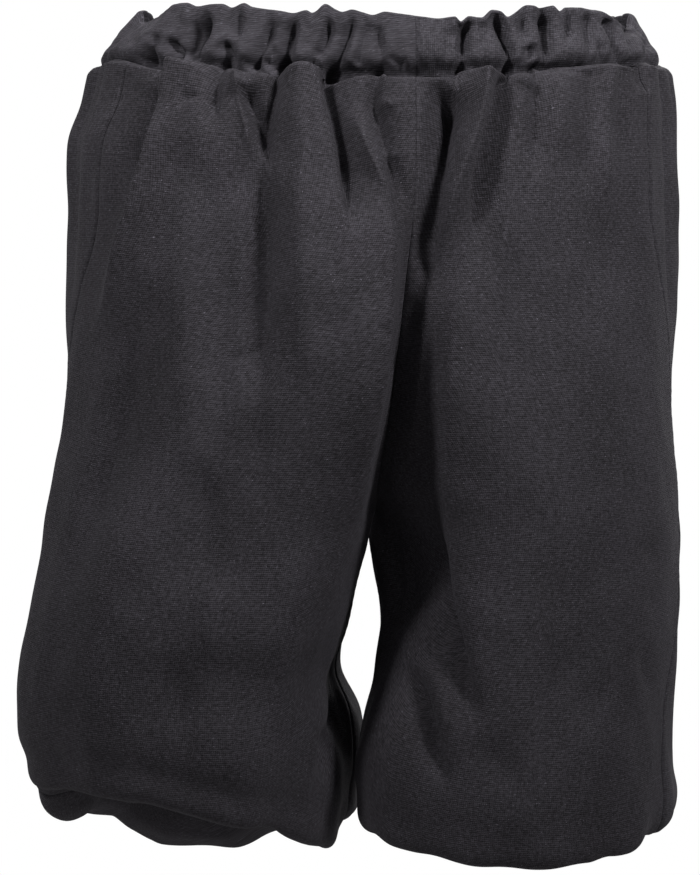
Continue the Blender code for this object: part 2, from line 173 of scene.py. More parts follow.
# Angle and height of the lowest fold round each leg, from the inner side round the back to the
# outer side and on round the front. The right leg is caught up in front, and hangs in lobes behind.
HEM_LINES = {
    "right": [
        (-180, -471.5), (-150, -476), (-130, -482), (-113, -491.5),
        (-102, -499), (-88, -502), (-76, -500), (-70, -496),
        (-62, -487), (-54, -477), (-44, -476), (-28, -475.5),
        (-20, -472), (-10, -462), (0, -453), (17, -448.5),
        (53, -449.7), (73, -451.7), (85, -455.4), (98, -461.3),
        (113, -468.0), (127, -472.0), (142, -476.4), (157, -484),
        (167, -488.5), (174, -480), (180, -471.5),
    ],
    "left": [
        (-180, -473.7), (-150, -478), (-120, -490), (-95, -494),
        (-75, -489), (-55, -484), (-35, -482), (-15, -474),
        (0, -471), (16, -471.6), (30, -477), (46, -483.7),
        (57, -485.4), (67, -490.3), (84, -491), (96, -492.3),
        (108, -490.1), (122, -486), (144, -477), (165, -474),
        (180, -473.7),
    ],
}
# Heights of the waist seam, and how far the band leans in from it to its top edge.
WAIST_SEAM = {"side": -0.004, "front": -0.0165, "back": -0.002}
BAND_TAPER = {"right": 0.024, "left": 0.018}
BAND_DEPTH_TAPER = 0.010
# The overlap at the fork: how far the right leg stands forward over the middle, how far the
# left leg sinks in beside it, and how far the seam lies behind both.
FORK = columns("drop right left recess", [
    (0, 0, 0, 0),
    (60, -3, 0, 1),
    (85, -9, 2, 4),
    (110, -13, 4, 9),
    (150, -16, 6, 14),
    (200, -18, 8, 18),
    (250, -18, 14, 16),
    (293, -17, 20, 4),
    (320, -15, 12, 0),
    (350, -12, 5, 0),
    (400, -7, 0, 0),
    (440, -3, 0, 0),
    (470, 0, 0, 0),
])
OVERHANG = 0.006
SQUARE_EDGE = 0.45         # how much squarer than an ellipse the right leg's inner front is
HEM_LEAN = 0.30            # how far the hems lean: backs to the left, fronts to the right
RIGHT_FRONT_LEAN = 0.14
ROLL_SHRINKAGE = 0.0035    # how far easing lifts the lowest fold
print("heights measured:", len(SECTIONS["drop"]), "on a leg,", len(HEM_LINES["left"]), "on a hem")

# %% [markdown]
# The next functions turn the tables into points. They work on whole grids of angles and drops
# at once, which is what makes a fine surface quick to compute.

# %% The plain form, without folds
def column(table, name, drop):
    """A column of a millimetre table at these distances below the waist seam, in metres."""
    return fair_curve(np.divide(table["drop"], 1000), table[name], drop) / 1000


def end_angle(face, drop):
    """Where a leg's round stops at the centre seam, in radians."""
    return np.radians(column(SECTIONS, face + "_end", drop) * 1000)


def hem_height(leg, angle):
    """Height of the leg's lowest fold at this angle."""
    return fair_curve(*zip(*HEM_LINES[leg]), np.degrees(angle)) / 1000 - ROLL_SHRINKAGE


def form(leg, angle, drop):
    """Points of the filled-out leg at these angles and drops."""
    angle, drop = np.broadcast_arrays(angle, drop)
    front = angle > 0
    turn = np.abs(angle)
    side = column(SECTIONS, leg + "_side", drop)
    end = np.where(front, end_angle("front", drop), end_angle("back", drop))
    depth = np.where(front, column(SECTIONS, "front", drop), column(SECTIONS, "back", drop))
    centre = np.where(
        front, column(CENTRE_SEAMS, "front", drop), column(CENTRE_SEAMS, "back", drop)
    )
    ends = INSEAMS[leg][0] / 1000, INSEAMS[leg][-1] / 1000
    straight = np.interp(drop, [FORK_DROP, LEG_DROP], ends)
    inner = np.where(drop < FORK_DROP, centre, straight)
    across = (1 - np.cos(turn)) / (1 - np.cos(end))
    x = side + (inner - side) * across
    # The dent between the legs keeps to the inner edge.
    dent = np.where(drop < FORK_DROP, 0, column(INSEAMS, leg, drop) - straight)
    x = x + dent * soft_step(across, 0.78, 1)
    # The right leg's front stays flat right up to its edge over the fork.
    edge = SQUARE_EDGE * (leg == "right") * front * (across > 0.3)
    edge = edge * soft_step(drop, 0.15, 0.21) * soft_step(drop, LEG_DROP, 0.31)
    depth = depth * np.maximum(np.sin(turn), 0) ** (1 - edge * soft_step(across, 0.3, 0.6))
    # Beside the fork the right leg stands over the middle and the left leg sinks in.
    recess = column(FORK, "recess", drop) * soft_step(across, 0.91, 1)
    if leg == "right":
        fork = soft_step(across, 0.45, 0.80) * soft_step(across, 1, 0.92)
        over = soft_step(across, 0.75, 0.92) * soft_step(across, 1, 0.93)
        over = over * (soft_step(drop, 0.07, 0.12) - soft_step(drop, 0.27, 0.31))
        x = x + np.where(front, OVERHANG * over, 0)
    else:
        fork = soft_step(across, 0.77, 0.90) * soft_step(across, 1, 0.92)
    y = np.where(front, column(FORK, leg, drop) * fork + recess - depth, depth)
    lean = np.where(front & (leg == "right"), RIGHT_FRONT_LEAN, HEM_LEAN)
    x = x + lean * y * soft_step(across, 0.5, 1) * soft_step(drop, 0.31, 0.43)
    middle = np.where(front, WAIST_SEAM["front"], WAIST_SEAM["back"])
    waist = WAIST_SEAM["side"] + (middle - WAIST_SEAM["side"]) * np.sin(angle) ** 2
    share = drop / LEG_DROP
    z = waist * (1 - share) + HEM_LEVEL * share
    own = hem_height(leg, angle) - HEM_LEVEL
    z = z + own * soft_step(drop, FORK_DROP, LEG_DROP)
    return np.stack([x, y, z], axis=-1)


def elastic_ring(leg, angle, radius, height):
    """Points of the hem elastic's circle inside the leg."""
    x = HEM_MIDDLES[leg] + OUTER_SIDE[leg] * radius * np.cos(angle)
    return np.stack([x, -radius * np.sin(angle), np.broadcast_to(height, x.shape)], axis=-1)


waist_front = form("left", np.array([math.pi / 2]), np.array([0.0]))[0]
print("centre front of the waist seam:", np.round(waist_front * 1000, 1), "mm")

# %% [markdown]
# At the bottom the cloth turns under and climbs to the elastic. The turn is given by a few
# stations, and the column of points through them is then spaced evenly along the cloth and
# eased, which rounds the lowest fold as a soft cloth would.

# %% One grid of points for a panel
Turn = namedtuple("Turn", "inward rise share climb")
HEM_TURN = [
    Turn(0.0000, ROLL_HEIGHT, 0.00, 0.00),
    Turn(0.0006, 0.0085, 0.00, 0.00),
    Turn(0.0040, 0.0018, 0.00, 0.00),
    Turn(0.0110, 0.0000, 0.00, 0.00),
    Turn(0.0110, 0.0000, 0.45, 0.15),
    Turn(0.0110, 0.0000, 0.90, 0.60),
    Turn(0.0110, 0.0000, 1.00, 1.00),
]
STATION_DROPS = np.linspace(0.0, 0.435, 88)  # where the form is measured above the turn
PANEL_ROWS = 256
PANEL_COLUMNS = 296
# The rows lie closest where the pleats are sharpest: at the waist, and again at the hem.
ROW_MARKS = [0.0, 0.22, 0.80, 1.0]
ROW_SHARES = [0.0, 0.115, 0.84, 1.0]
ROLL_EASING = 7


def unit(vectors):
    """The same directions, with length 1."""
    return vectors / np.maximum(np.linalg.norm(vectors, axis=-1, keepdims=True), 1e-9)


def eased(grid):
    """The grid with each row moved halfway to the middle of its neighbours."""
    grid[1:-1] = 0.25 * grid[:-2] + 0.5 * grid[1:-1] + 0.25 * grid[2:]
    return grid


def turned_under(leg, angle, turn):
    """Points of the cloth that turns under at the hem."""
    low = form(leg, angle, LEG_DROP)
    ring = elastic_ring(leg, angle, HEM_ELASTIC_RADIUS, 0.0)
    ring[..., 2] = low[..., 2]
    start = low + unit(ring - low) * turn.inward
    points = start + (ring - start) * turn.share
    foot = HEM_ELASTIC_TOP - HEM_ELASTIC_HEIGHT
    points[..., 2] = low[..., 2] + turn.rise + (foot - low[..., 2]) * turn.climb
    return points


def panel_grid(leg, face):
    """Points of a panel from its side seam to the centre, and from the waist to the elastic.

    Also gives each point's distance down the cloth."""
    share = np.linspace(0, 1, PANEL_COLUMNS + 1)
    sign = 1 if face == "front" else -1

    def angles(drop):
        seam = np.radians(column(SIDE_SEAMS, leg, drop) * 1000)
        return seam + (sign * end_angle(face, drop) - seam) * share

    stations = [form(leg, angles(drop), drop) for drop in STATION_DROPS]
    for turn in HEM_TURN:
        stations.append(turned_under(leg, angles(LEG_DROP), turn))
    stations = np.array(stations)
    steps = np.linalg.norm(np.diff(stations, axis=0), axis=-1)
    down = np.vstack([np.zeros(PANEL_COLUMNS + 1), np.cumsum(steps, axis=0)])
    rows = fair_curve(ROW_MARKS, ROW_SHARES, np.linspace(0, 1, PANEL_ROWS + 1))
    points = np.empty((PANEL_ROWS + 1, PANEL_COLUMNS + 1, 3))
    for i in range(PANEL_COLUMNS + 1):
        at = rows * down[-1, i]
        for axis in range(3):
            points[:, i, axis] = np.interp(at, down[:, i], stations[:, i, axis])
    for _ in range(ROLL_EASING):
        points = eased(points)
    return points, rows[:, None] * down[-1][None, :]


def outward(points, middle_x):
    """The way out of a grid's surface, square to it, away from the line x = middle_x."""
    way = unit(np.cross(np.gradient(points, axis=1), np.gradient(points, axis=0)))
    from_middle = points - np.array([middle_x, 0.0, 0.0])
    if np.sum(way[: len(way) // 2] * from_middle[: len(way) // 2]) < 0:
        way = -way
    return way


sample, sample_down = panel_grid("left", "front")
print("front panel:", sample.shape[:2], "points,", round(float(sample_down.max()), 3), "m long")

# %% [markdown]
# ## Creases placed one by one
#
# Real gathers are not a regular wave. Each pleat has its own length and lean, and a sharp side
# and a soft side, because the cloth folds over itself there. So each crease is one row of a
# table: the line that it follows as seen from the front, its height out of the cloth (below zero
# is a trough), how far it spreads to its left and right, and how round its bottom is. The rows
# are grouped by the leg that they are on, and were placed on the photograph.

# %% The creases of the front
Crease = namedtuple("Crease", "leg line height left right edge")


def creases_of(leg, rows):
    """The creases of a table whose rows are all on this leg, or on both."""
    return [Crease(leg, *row) for row in rows]


FRONT_CREASES = creases_of("both", [
    # the outer pleat, steep on its outer side, with the hollow and the notch beside it
    ([(-114, 1), (-122, -23), (-134, -63), (-140, -94), (-157, -138), (-178, -183)], 11.2, 5, 15, 2.0),
    ([(-127, -17), (-129, -24), (-135, -40), (-143, -63), (-151, -91)], -7.7, 6, 3.5, 2.5),
    ([(-126, 3), (-126, -5), (-128, -18)], -9.8, 3, 3, 1.0),
    # pleats and pockets between it and the middle
    ([(-94, 3), (-95, -16), (-97, -28), (-99, -48)], -9.1, 3, 3.4, 1),
    ([(-83, -5), (-80, -25), (-76, -43), (-74, -67)], 7.0, 3, 3.2, 1.1),
    ([(-55, 5), (-57, -7), (-59, -20), (-65, -37), (-69, -63)], -12.6, 3.5, 6, 1.4),
    ([(-43, -2), (-42, -38), (-41, -94), (-41, -169), (-45, -231)], 11.2, 13, 11, 6),
    # the fold out of the band, and the pockets at the tab and at the side seam
    ([(6, 5), (4, -9), (-1, -24)], -5.6, 4, 3, 1.4),
    ([(57, 6), (56, -5), (52, -19)], -9.8, 3.5, 4, 1.3),
    ([(168, 5), (168, -8), (170, -23)], -7.0, 3, 3, 1.1),
]) + creases_of("right", [
    # beside the outer pleat: a flat, a chevron and a plate
    ([(-158, -25), (-162, -69), (-170, -119)], 4.2, 9, 10, 5),
    ([(-116, -32), (-108, -25), (-99, -29)], -2.8, 2, 3, 0.9),
    ([(-106, 0), (-105, -32), (-107, -82)], 4.5, 8, 6, 4),
    # the V pit and the long valley under it
    ([(-79, -15), (-74, -29), (-69, -43), (-65, -57), (-65, -75)], -14.0, 4.5, 7, 1.2),
    ([(-71, -25), (-71, -69), (-71, -113), (-72, -175), (-74, -238)], -15.4, 10, 10, 2.6),
    # the edge of a pleat, the ridge from it to the centre seam, its hollow and two knots
    ([(-27, 0), (-24, -17), (-20, -33), (-15, -54), (-12, -82), (-12, -113)], -18.2, 3, 9, 1.8),
    ([(-10, -24), (-4, -45), (4, -65), (11, -82), (21, -95)], 9.1, 4, 4, 1.6),
    ([(0, -10), (4, -29), (9, -50), (15, -70), (21, -88), (24, -110)], -13.3, 5, 6, 2.2),
    ([(1, -22), (9, -25), (17, -30)], 4.2, 3, 3, 1.2),
    ([(7, -54), (14, -57), (20, -63)], 2.4, 3, 3, 1.2),
    # down the thigh: ridges, valleys and a swelling
    ([(-110, -45), (-112, -75), (-114, -138), (-115, -200), (-115, -275)], 7.0, 15, 12, 5),
    ([(-94, -75), (-94, -125), (-96, -188), (-99, -256)], -4.0, 9, 10, 4),
    ([(-84, -69), (-84, -113), (-85, -169)], 2.8, 8, 6, 3),
    ([(-135, -131), (-145, -175), (-160, -220), (-175, -269), (-188, -317), (-197, -362)],
     -15.0, 12, 22, 6),
    ([(-139, -256), (-151, -312), (-167, -362), (-182, -412)], 5.0, 22, 22, 10),
    # dimples, dents and swellings above the hem
    ([(-105, -244), (-105, -294), (-109, -337)], -5.4, 11, 11, 4),
    ([(-75, -213), (-69, -256), (-65, -300)], -4.0, 15, 13, 6),
    ([(-95, -312), (-99, -344), (-102, -387)], 5.0, 12, 14, 5),
    ([(-127, -362), (-122, -400), (-122, -432)], -4.6, 16, 14, 6),
    ([(-69, -362), (-65, -400), (-65, -437)], -3.6, 16, 14, 6),
    ([(-92, -400), (-90, -431), (-87, -462)], 3.6, 16, 14, 6),
    # the inner thigh: a swelling, short creases at the fork and a half moon
    ([(-12, -113), (-4, -150), (-6, -206), (-17, -263)], 5.0, 20, 14, 8),
    ([(-1, -163), (6, -171), (17, -179)], -2.2, 2.2, 3, 0.9),
    ([(1, -183), (9, -187), (19, -188)], -1.6, 2.2, 2.4, 0.9),
    ([(-94, -188), (-84, -186), (-76, -181), (-72, -173)], -2.0, 2, 2.8, 0.9),
    # the inside leg seam as it comes forward, and the hollow behind it
    ([(-21, -375), (-26, -394), (-32, -417), (-38, -445), (-42, -470)], 3.0, 8, 2.5, 1.2),
    ([(-16, -380), (-21, -406), (-26, -437), (-29, -462)], -15.0, 4, 12, 2),
]) + creases_of("left", [
    # the deep valley left of the tab, the tab's pleat and its pocket
    ([(49, -10), (46, -23), (41, -44), (36, -69), (31, -97), (29, -126), (32, -156)], -28.0, 13, 7, 4),
    ([(72, -3), (69, -33), (61, -55), (50, -82), (44, -110), (41, -144)], 16.1, 7, 8, 2.4),
    ([(87, 3), (87, -5), (85, -18)], -9.8, 2.4, 2.6, 1.0),
    # right of the tab: valleys, with a lift beside each
    ([(85, -8), (82, -20), (77, -40), (71, -63), (66, -91), (62, -126)], -10.5, 3, 10, 2.2),
    ([(94, -7), (92, -38), (87, -75), (84, -125), (80, -175)], 6.3, 7, 12, 3.5),
    ([(107, 3), (105, -10), (105, -28), (104, -50), (102, -82)], -8.4, 4.5, 6, 2),
    ([(117, -7), (116, -32), (115, -69)], 4.8, 6, 9, 3),
    # the pleat toward the side, between two dips
    ([(137, -2), (135, -25), (133, -57), (132, -94)], -5.6, 8, 6, 3),
    ([(149, 0), (147, -32), (146, -63), (146, -113)], 5.0, 5, 5, 1.6),
    ([(156, -2), (156, -32), (157, -69)], -4.2, 5, 6, 2.4),
    # the shadow folds below the fork, and the ridges beside them
    ([(34, -263), (32, -306), (35, -337), (43, -364), (56, -394), (74, -422)], -23.0, 13, 6, 2),
    ([(12, -331), (20, -359), (31, -382), (45, -409), (57, -438)], 1.5, 5, 6, 2.5),
    ([(15, -369), (23, -395), (35, -426), (49, -460)], -15.0, 6, 5, 1.2),
    ([(4, -303), (9, -332), (11, -362)], 3.0, 2, 2.4, 0.9),
    # broad swellings and hollows
    ([(64, -100), (59, -150), (54, -213), (52, -275)], 6.0, 12, 26, 6),
    ([(136, -107), (141, -175), (142, -250), (139, -337)], 5.0, 36, 22, 14),
    ([(102, -75), (105, -125), (105, -188), (101, -263)], -3.6, 20, 18, 8),
    ([(105, -362), (130, -394), (161, -422)], -5.0, 22, 24, 9),
    ([(61, -419), (80, -443), (105, -466)], -3.4, 12, 14, 5),
    # dents at the side seam
    ([(167, -302), (173, -307), (181, -317)], -2.6, 3.6, 4, 1.4),
    ([(169, -329), (175, -337), (180, -350)], -1.8, 3.6, 4, 1.4),
    ([(167, -362), (173, -377), (175, -400)], -2.4, 3, 5, 1.4),
])
BAND_CREASES = creases_of("both", [
    ([(-146, -4), (-141, 2), (-137, 10)], -10.2, 2.2, 2.6, 0.9),
    ([(-134, 16), (-137, 5)], -6.3, 2, 2.4, 0.9),
    ([(-129, 13), (-125, 6), (-122, -4)], -10.9, 2.4, 2, 0.9),
    ([(-116, 0), (-110, 13), (-99, 28)], -14.8, 2.4, 3.4, 1),
    ([(-121, 2), (-115, 12), (-110, 25)], -8.7, 2.2, 2.6, 1),
    ([(-95, 12), (-92, 5), (-87, -5)], -11.0, 3.2, 2.4, 1.1),
    ([(-87, 10), (-84, 18), (-82, 30)], -5.5, 2.2, 2.6, 1),
    ([(-78, -7), (-69, 10), (-57, 28)], -9.7, 2.6, 3.4, 1.1),
    ([(-69, -4), (-65, 3), (-60, 10)], -4.6, 2, 2.2, 0.9),
    ([(-60, -10), (-54, 8), (-46, 31)], -12.0, 3, 3.6, 1.4),
    ([(-57, -8), (-55, -3), (-52, 1)], -11.5, 4, 3.4, 1.4),
    ([(-35, 2), (-29, 12), (-24, 27)], -9.2, 2.8, 3, 1.1),
    ([(-39, -4), (-36, 2), (-34, 8)], -4.1, 2, 2.2, 0.9),
    ([(-26, -7), (-18, 8), (-9, 30)], -10.6, 2.8, 3.2, 1.1),
    ([(-10, -3), (-6, 10), (0, 26)], -5.5, 3, 2.6, 1.1),
    ([(5, 23), (3, 10), (7, -5)], -5.1, 3.4, 2.4, 1.1),
    ([(21, -3), (12, 1), (6, 2)], -3.7, 2.2, 2.2, 0.9),
    ([(49, 23), (47, 8), (48, -4)], -3.7, 3, 3, 1.2),
    ([(59, 26), (57, 11), (56, -7)], -13.3, 3.2, 3, 1.2),
    ([(67, 26), (70, 15), (69, 3)], -4.1, 2.2, 2.4, 0.9),
    ([(77, 28), (82, 15), (87, 5), (87, -9)], -14.3, 3, 2.8, 1.1),
    ([(94, 30), (96, 17), (95, 8)], -7.4, 2.4, 2.4, 1),
    ([(99, 10), (100, 3), (102, -2)], -8.3, 3.4, 3.2, 1.3),
    ([(107, 31), (110, 16), (111, 2), (106, -8)], -15.2, 3.4, 3, 1.2),
    ([(124, 32), (124, 20), (123, 6)], -7.4, 2, 2.2, 0.9),
    ([(134, 28), (137, 16), (136, -2)], -6.9, 2.6, 2.4, 1),
    ([(147, 28), (153, 12), (160, -7)], -9.7, 2.6, 2.8, 1),
    ([(142, 12), (146, 2), (147, -5)], -4.1, 2, 2, 0.9),
    ([(160, 36), (165, 14), (168, -7)], -9.7, 2.8, 2.4, 1),
    ([(170, 30), (175, 8), (177, -7)], -6.0, 2.2, 2.2, 0.9),
])
print("creases on the front:", len(FRONT_CREASES), "on the body,", len(BAND_CREASES), "on the band")

# %% [markdown]
# The back isn't in the photograph. Its creases are the same kind of pleats, which start at the
# gathered waist and die out over the seat, and the sides have a few long soft ones. Here the
# line runs in side to side and up, or in front to back and up for the sides.

# %% The creases of the back and sides
BACK_CREASES = creases_of("right", [
    ([(-150, -6), (-157, -90), (-166, -200)], 4.6, 10, 7, 4),
    ([(-118, -4), (-122, -150), (-135, -330)], -6.0, 6, 12, 4),
    ([(-96, -8), (-98, -120), (-100, -240)], 4.6, 9, 8, 4),
    ([(-72, -2), (-76, -70), (-84, -150)], -5.6, 3.5, 7, 2),
    ([(-46, -8), (-56, -150), (-72, -300)], 4.4, 14, 9, 5),
    ([(-24, -2), (-22, -80), (-16, -170)], -5.2, 5, 7, 2.5),
    ([(-60, -270), (-90, -370), (-130, -450)], -5.0, 15, 13, 7),
    ([(-138, -2), (-139, -40), (-143, -84)], -4.2, 3, 5, 1.6),
    ([(-60, -2), (-61, -34), (-62, -70)], -3.8, 4, 3, 1.4),
    ([(-37, -2), (-36, -30), (-38, -58)], -3.2, 3, 4, 1.3),
    ([(-107, -2), (-108, -30), (-112, -66)], -3.4, 3, 4, 1.4),
    ([(-178, -250), (-184, -330), (-176, -430)], -4.6, 16, 16, 8),
    ([(-110, -330), (-104, -400), (-96, -470)], 3.6, 15, 15, 7),
]) + creases_of("left", [
    ([(22, -2), (20, -80), (15, -160)], -5.4, 7, 5, 2.5),
    ([(45, -8), (55, -150), (74, -310)], 4.4, 9, 14, 5),
    ([(74, -2), (80, -90), (90, -180)], -5.8, 7, 3.5, 2),
    ([(102, -8), (104, -120), (110, -260)], 4.8, 8, 11, 4),
    ([(130, -4), (136, -170), (148, -340)], -6.2, 12, 6, 4),
    ([(50, -280), (78, -370), (112, -458)], -5.0, 13, 15, 7),
    ([(155, -300), (150, -375), (142, -450)], 3.8, 13, 13, 6),
    ([(35, -2), (37, -34), (39, -74)], -3.8, 4, 3, 1.4),
    ([(60, -2), (63, -30), (66, -60)], -3.2, 3, 4, 1.3),
    ([(90, -2), (92, -34), (95, -70)], -3.4, 4, 3, 1.4),
    ([(117, -2), (120, -40), (125, -92)], -4.2, 5, 3, 1.6),
    ([(96, -300), (100, -380), (92, -470)], 3.4, 16, 15, 7),
    ([(30, -330), (44, -400), (66, -462)], -3.6, 9, 12, 5),
])
SIDE_CREASES = creases_of("right", [
    ([(-62, -4), (-58, -60), (-52, -130)], -3.6, 4, 6, 1.8),
    ([(-34, -2), (-30, -70), (-22, -170)], -5.0, 6, 10, 3),
    ([(-8, -4), (-4, -110), (4, -240)], 4.2, 12, 9, 5),
    ([(18, -2), (22, -60), (30, -130)], -4.4, 4, 7, 2),
    ([(44, -4), (50, -110), (60, -260)], -4.6, 9, 12, 4),
    ([(-20, -280), (6, -370), (40, -450)], -5.4, 17, 15, 7),
    ([(30, -330), (52, -400), (78, -456)], 3.6, 14, 14, 7),
]) + creases_of("left", [
    ([(-66, -4), (-62, -60), (-54, -120)], -3.4, 6, 4, 1.8),
    ([(-38, -2), (-36, -80), (-28, -190)], -4.6, 9, 6, 3),
    ([(-10, -4), (-8, -100), (2, -230)], 4.0, 10, 12, 5),
    ([(16, -2), (20, -60), (24, -140)], -4.6, 7, 4, 2),
    ([(42, -4), (48, -120), (56, -280)], -4.4, 12, 9, 4),
    ([(10, -290), (24, -380), (46, -462)], -4.6, 15, 15, 7),
    ([(-40, -300), (-30, -380), (-16, -460)], 3.2, 14, 14, 7),
])
print("creases behind and at the sides:", len(BACK_CREASES) + len(SIDE_CREASES))

# %% [markdown]
# `crease_moves` sums the creases at each point of a surface. The corners of a crease's line are
# cut off twice first, which rounds it, and the crease fades in quickly at its upper end and
# slowly at its lower end, as a pleat opens out below the seam that holds it. A crease that is
# sharper on one side also leans over that side, because a real pleat folds over there.

# %% The height of all creases at a place
OVERFOLD = 0.8             # how far a pleat leans over its sharp side, for each metre of height
CREASE_FADES_AT = 0.55     # the share of its length from which a crease dies out


def rounded_line(line):
    """The line with its corners cut off twice."""
    line = np.array(line, float)
    for _ in range(2):
        early = 0.75 * line[:-1] + 0.25 * line[1:]
        late = 0.25 * line[:-1] + 0.75 * line[1:]
        between = np.stack([early, late], axis=1).reshape(-1, 2)
        line = np.vstack([line[:1], between, line[-1:]])
    return line


def fade_in(top, length, leg):
    """The share of its length in which a crease comes up, from its upper end's height."""
    if leg == "band" and 5 < top < 24:
        return 0.30
    if top > -9:
        return min(0.08, 9 / length)
    return 0.16 if top > -20 else 0.40


def crease_moves(creases, leg, across, up, inside):
    """Metres across, up and out of the cloth at places given in millimetres."""
    total = np.zeros(across.shape + (3,))
    for crease in creases:
        if leg != "band" and crease.leg not in ("both", leg):
            continue
        line = rounded_line(crease.line)
        reach = 5 * max(crease.left, crease.right) + crease.edge
        low, high = line.min(axis=0) - reach, line.max(axis=0) + reach
        near = (across > low[0]) & (across < high[0]) & (up > low[1]) & (up < high[1])
        if not near.any():
            continue
        x, z = across[near], up[near]
        best = np.full(x.shape, 1e9)
        side, along, right_x, right_z = (np.zeros(x.shape) for _ in range(4))
        lengths = np.linalg.norm(np.diff(line, axis=0), axis=1)
        gone = 0.0
        for start, end, length in zip(line[:-1], line[1:], lengths):
            way = (end - start) / max(length, 1e-6)
            t = np.clip((x - start[0]) * way[0] + (z - start[1]) * way[1], 0, length)
            off_x, off_z = x - start[0] - way[0] * t, z - start[1] - way[1] * t
            distance = np.hypot(off_x, off_z)
            closer = distance < best
            best = np.where(closer, distance, best)
            side = np.where(closer, way[0] * off_z - way[1] * off_x, side)
            along = np.where(closer, gone + t, along)
            right_x = np.where(closer, -way[1], right_x)
            right_z = np.where(closer, way[0], right_z)
            gone += length
        along = along / gone
        spread = np.where(side < 0, crease.left, crease.right)
        shape = np.exp(-(np.sqrt(best ** 2 + crease.edge ** 2) - crease.edge) / spread)
        shape = shape * soft_step(along, 0, fade_in(line[0, 1], gone, leg))
        shape = shape * soft_step(along, 1, CREASE_FADES_AT)
        if crease.leg != "both":
            shape = shape * inside[near]
        out = crease.height / 1000 * shape
        lean = (crease.left - crease.right) / (crease.left + crease.right)
        aside = OVERFOLD * lean * np.abs(out)
        total[near] += np.stack([aside * right_x, aside * right_z, out], axis=-1)
    return total


def seen(points):
    """Where points stand in the front view, in millimetres at the middle of the waist."""
    near = -EYE.y / (points[..., 1] - EYE.y)
    across = (points[..., 0] - EYE.x) * near + EYE.x
    up = (points[..., 2] - EYE.z) * near + EYE.z
    return across * 1000, up * 1000


print("the front waist seam is seen at", [round(float(v), 1) for v in seen(waist_front)], "mm")

# %% [markdown]
# ## Small crumples and gathers
#
# Between the creases the cloth is never flat. `crumple` adds waves in random directions from a
# fixed seed, so that each run gives the same cloth. `gathers` is the row of small pleats that an
# elastic makes: many at the seam, half as many a little lower, and fewer again below, because
# neighbouring pleats run together.

# %% Crumples and gathers
WAIST_PLEATS = 46
WAIST_HALF_WIDTH = 0.176
WAIST_HALF_DEPTH = 0.118
# A stretch below 1 in the last place draws the waves out upright.
Waves = namedtuple("Waves", "height length count seed stretch")
BROAD_WAVES = Waves(0.0011, 0.060, 16, 11, (1, 1, 0.18))
SMALL_WAVES = Waves(0.00035, 0.022, 20, 12, (1, 1, 0.6))
WAVES_UNDER_THE_HEM = Waves(0.0014, 0.045, 14, 13, (1, 1, 0.25))
BAND_WAVES = Waves(0.0008, 0.013, 18, 21, (1, 1, 0.22))
FINE_BAND_WAVES = Waves(0.0003, 0.006, 18, 22, (1, 1, 0.5))


def crumple(points, waves):
    """Metres out of the cloth for smooth uneven waves in random directions."""
    rng = np.random.default_rng(waves.seed)
    total = np.zeros(points.shape[:-1])
    for _ in range(waves.count):
        way = rng.normal(size=3)
        way = way / np.linalg.norm(way) * np.array(waves.stretch)
        pitch = 2 * math.pi / (waves.length * rng.uniform(0.7, 1.4))
        total += np.cos((points @ way) * pitch + rng.uniform(0, 2 * math.pi))
    return waves.height * total / math.sqrt(waves.count)


def pleat_wave(turn, count, seed):
    """A round of uneven pleats: 1 on a rounded ridge, 0 in a sharp valley."""
    rng = np.random.default_rng(seed)
    warp = sum(
        rng.uniform(0.25, 0.5) / k * np.sin(k * turn + rng.uniform(0, 6.28)) * 6 / count
        for k in (3, 5, 8, 13)
    )
    strength = 0.75 + 0.25 * np.sin(7 * turn + rng.uniform(0, 6.28))
    return (1 - (1 - np.abs(np.sin(count / 2 * (turn + warp)))) ** 1.6) * strength


def round_waist(points):
    """The angle at which points stand round the waist."""
    return np.arctan2(points[..., 1] / WAIST_HALF_DEPTH, points[..., 0] / WAIST_HALF_WIDTH)


def gathers(points, drop):
    """Metres out of the cloth for the gathers below the waist seam, at these drops."""
    turn = round_waist(points)
    small = (pleat_wave(turn, WAIST_PLEATS, 3) - 0.6) * soft_step(drop, 0.045, 0)
    middle = (pleat_wave(turn, WAIST_PLEATS // 2, 4) - 0.6) * soft_step(drop, 0.110, 0)
    large = (pleat_wave(turn, WAIST_PLEATS // 4, 5) - 0.6) * soft_step(drop, 0.230, 0)
    return 0.0018 * small + 0.0032 * middle + 0.0026 * large * soft_step(drop, 0, 0.03)


print("gathers round the waist:", WAIST_PLEATS)

# %% [markdown]
# ## From a grid of points to a sewn panel
#
# A panel is its grid, moved out by the creases, with a thin inner face behind it and its four
# edges closed. Nobody sees the inner face, so it has half as many rows and columns. The panel
# also gets a UV map that is measured along the cloth in metres, so that the weave keeps its real
# size wherever the cloth bends.

# %% Building a thin closed cloth
def cloth_lengths(points):
    """Distance along each row and down each column of a grid, in metres."""
    along = np.linalg.norm(np.diff(points, axis=1), axis=-1)
    down = np.linalg.norm(np.diff(points, axis=0), axis=-1)
    u = np.hstack([np.zeros((len(points), 1)), np.cumsum(along, axis=1)])
    v = np.vstack([np.zeros((1, points.shape[1])), np.cumsum(down, axis=0)])
    return np.stack([u, v], axis=-1)


